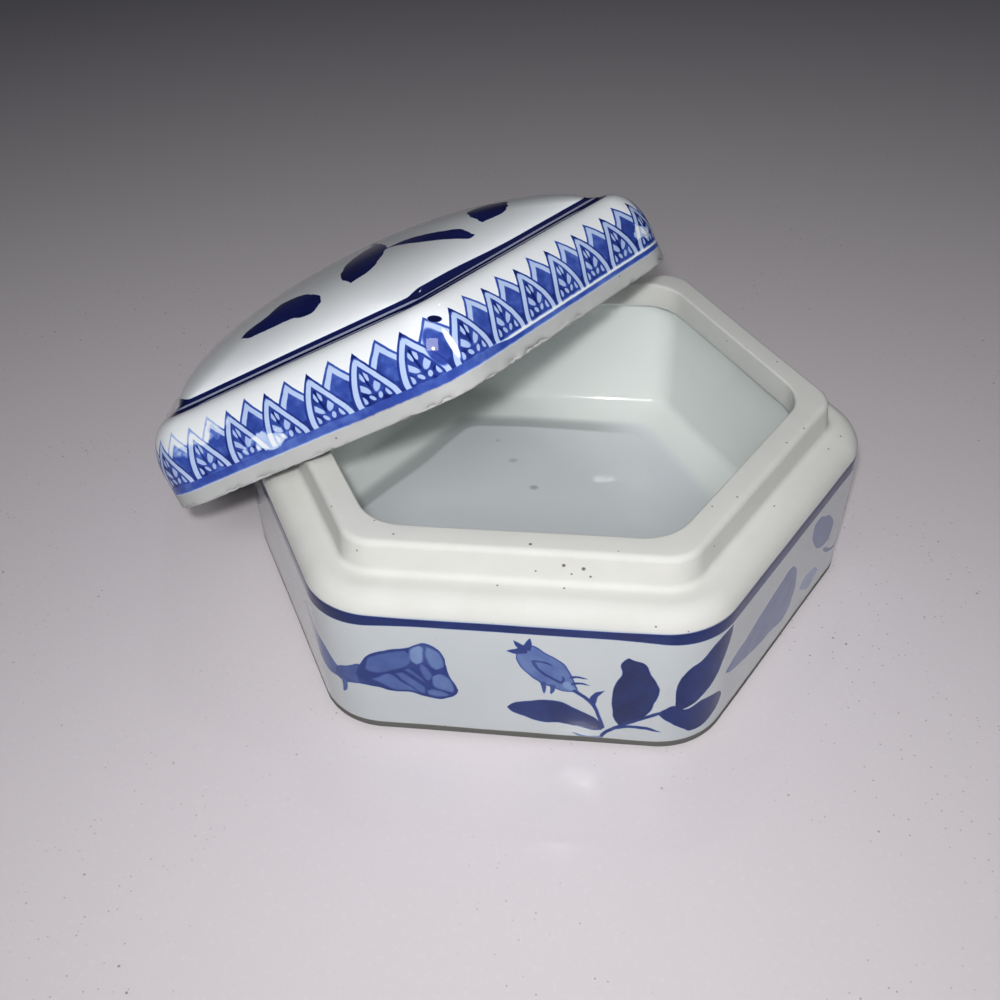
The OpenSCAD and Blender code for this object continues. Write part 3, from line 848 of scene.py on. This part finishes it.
LID_WHITE = (230, 234, 238), (238, 241, 243)
PRINT_BLUES = ((0.0, (222, 228, 238)), (0.12, (180, 199, 234)), (0.4, (94, 122, 198)),
               (0.62, (54, 76, 160)), (1.0, (20, 32, 98)))
BRUSH_BLUES = (0.0, (200, 208, 226)), (0.5, (76, 96, 168)), (0.8, (28, 38, 110)), (1.0, (12, 16, 56))
RIBBON = (158, 160, 182)
# The lid's bare rim is painted darker than the box's bare clay: painted shade, as the rim faces down.
SHADED_RIM_CLAY = (172, 174, 174), (188, 188, 186)

crown_place = trembling(own.vector("MULTIPLY", (1.0, 1.0, 0.0)), place, 0.9)
crown_ink = brushed(uv * 0.0, crown_place, CROWN_LEAVES, CROWN_STROKES,
                    (-0.1, 0.15), (0.3, 0.7), (-0.08, 0.12))
crown_ink = crown_ink * height.step(12.6, 12.9) * (wash * 0.2 + 0.85)
x, z, half_width, half_height = DROP
drop = sheet((round_mm - x) / half_width, (height - z + (round_mm - x) * 0.3) / half_height)
dark = crown_ink.most(rules).most(drop.length().step(1.12, 0.86))
white = wash.between(*LID_WHITE)
colour = white.colour(print_ink.tones(*PRINT_BLUES), print_ink.step(0.02, 0.1))
colour = colour.colour(RIBBON, ribbon * 0.85)
colour = colour.colour(dark.tones(*BRUSH_BLUES), dark.step(0.03, 0.3))
bare = (height + jitter).step(2.2, 1.9) * (place.noise(60.0, 1.0).step(0.3, 0.34) * 0.5 + 0.5)
# The rim's bare clay takes the darker colour: painted shade.
fire(shader, place, colour, bare, clay=SHADED_RIM_CLAY, wave=1.0)

# Under the lid: the glazed hollow, bare near the rim
HOLLOW_GLAZE = (212, 219, 219), (220, 225, 224)
hollow_glaze, shader, place = porcelain("lid_hollow")
height = place.add("ShaderNodeAttribute", attribute_name="own_place").out("Vector").split().out(2) * MM
bare = (height + (place.noise(260.0) - 0.5) * 1.2).step(4.2, 3.6)
fire(shader, place, place.noise(90.0).between(*HOLLOW_GLAZE), bare)

rim_at = travel(lid_profile)[len(hollow) + len(lower)]
lid = raise_shell("lid_porcelain", shell_tree, lid_profile, {
    "Corner steps": CORNER_STEPS, "Side steps": LID_SIDE_STEPS, "First corner": math.radians(FIRST_CORNER),
    "Split at": rim_at + PAINT_AT, "Chip depth": CHIP_DEPTH, "Rim at": rim_at + CHIPS_AT,
    "Lower finish": hollow_glaze, "Upper finish": lid_paint,
})
own_place = lid.data.attributes.new("own_place", "FLOAT_VECTOR", "POINT")
flat = [0.0] * (3 * len(lid.data.vertices))
lid.data.vertices.foreach_get("co", flat)
own_place.data.foreach_set("vector", flat)
lean = (Matrix.Translation(LID_PLACE) @ Matrix.Rotation(math.radians(LID_DIRECTION), 4, "Z")
        @ Matrix.Rotation(math.radians(LID_LEAN), 4, "Y") @ Matrix.Rotation(math.radians(LID_TURN), 4, "Z"))
lid.data.transform(lean)
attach(lid, "lid")
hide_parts("lid")


# The table and the light
# A pale polished stone top in a dim room. A small lamp beside the eye and a
# broader one behind it light the box, and a third above and behind it glints.
TABLE_REACH, TABLE_FRONT, TABLE_BACK = 3.0, 1.5, 3.0    # in metres, as the lit place and the lamps are
STONE, STONE_PAINTED_DIM, STONE_GRAIN = ((224, 217, 221), (231, 224, 228)), (150, 146, 152), (244, 241, 242)
LIT_MIDDLE, LIT_REACH = (0.03, -0.14, 0.0), (0.10, 0.60)
STONE_SPECKS = (1300.0, 0.18, 0.6, (146, 134, 126)), (620.0, 0.12, 0.75, (112, 98, 88))
ROOM_LOW, ROOM_HIGH, ROOM_STRENGTH = (34, 34, 38), (84, 86, 90), 0.8

table = bpy.data.meshes.new("table")
table.from_pydata([(-TABLE_REACH, -TABLE_FRONT, 0), (TABLE_REACH, -TABLE_FRONT, 0),
                   (TABLE_REACH, TABLE_BACK, 0), (-TABLE_REACH, TABLE_BACK, 0)], [], [(0, 1, 2, 3)])
table_object = bpy.data.objects.new("table", table)
bpy.context.scene.collection.objects.link(table_object)
stone, shader, place = porcelain("polished_stone")
cloud = place.noise(9.0, 3.0)
# The stone is painted darker away from the lit middle: a painted falloff of the lamps' light.
far = place.vector("DISTANCE", LIT_MIDDLE).out("Value").step(*LIT_REACH)
tone = cloud.between(*STONE).colour(STONE_PAINTED_DIM, far)
crowd = place.noise(30.0).step(0.4, 0.62)
for scale, size, strength, speck_colour in STONE_SPECKS:
    tone = tone.colour(speck_colour, specks(place, scale, size, size * 0.6, (0.72, 0.8)) * crowd * strength)
tone = tone.colour(STONE_GRAIN, place.noise(1500.0, 3.0).step(0.55, 0.7) * 0.15)
tone.feed(shader, "Base Color")
rough = cloud * 0.04 + 0.03
rough.feed(shader, "Roughness")
shader.inputs["Specular IOR Level"].default_value = 0.2
table.materials.append(stone)


def lamp(name, azimuth, elevation, distance, size, power, tilt=0.0):
    """A square soft lamp that looks at the box, or tilt degrees above it."""
    a, e = math.radians(azimuth), math.radians(elevation)
    toward = Vector((math.cos(a) * math.cos(e), math.sin(a) * math.cos(e), math.sin(e)))
    light = bpy.data.lights.new(name, "AREA")
    light.size = size
    light.energy = power
    made = bpy.data.objects.new(name, light)
    made.matrix_world = (Matrix.Translation(toward * distance)
                         @ toward.to_track_quat("Z", "Y").to_matrix().to_4x4()
                         @ Matrix.Rotation(math.radians(tilt), 4, "X"))
    made.visible_camera = False
    bpy.context.scene.collection.objects.link(made)


lamp("lamp_by_the_eye", azimuth=273.0, elevation=43.5, distance=0.175, size=0.007, power=0.183, tilt=32)
lamp("lamp_behind_the_eye", azimuth=276.0, elevation=43.0, distance=0.7, size=0.22, power=1.38)
lamp("lamp_above", azimuth=93, elevation=57, distance=1.6, size=0.026, power=0.5)

room = bpy.data.worlds.new("room")
room.use_nodes = True
bpy.context.scene.world = room
sky = Flow(room.node_tree).add("ShaderNodeTexCoord").out("Generated").split().out(2)
backing = room.node_tree.nodes["Background"]
sky.step(0.15, 0.8).between(ROOM_LOW, ROOM_HIGH).feed(backing, "Color")
backing.inputs["Strength"].default_value = ROOM_STRENGTH
bpy.context.scene.view_settings.view_transform = "Standard"
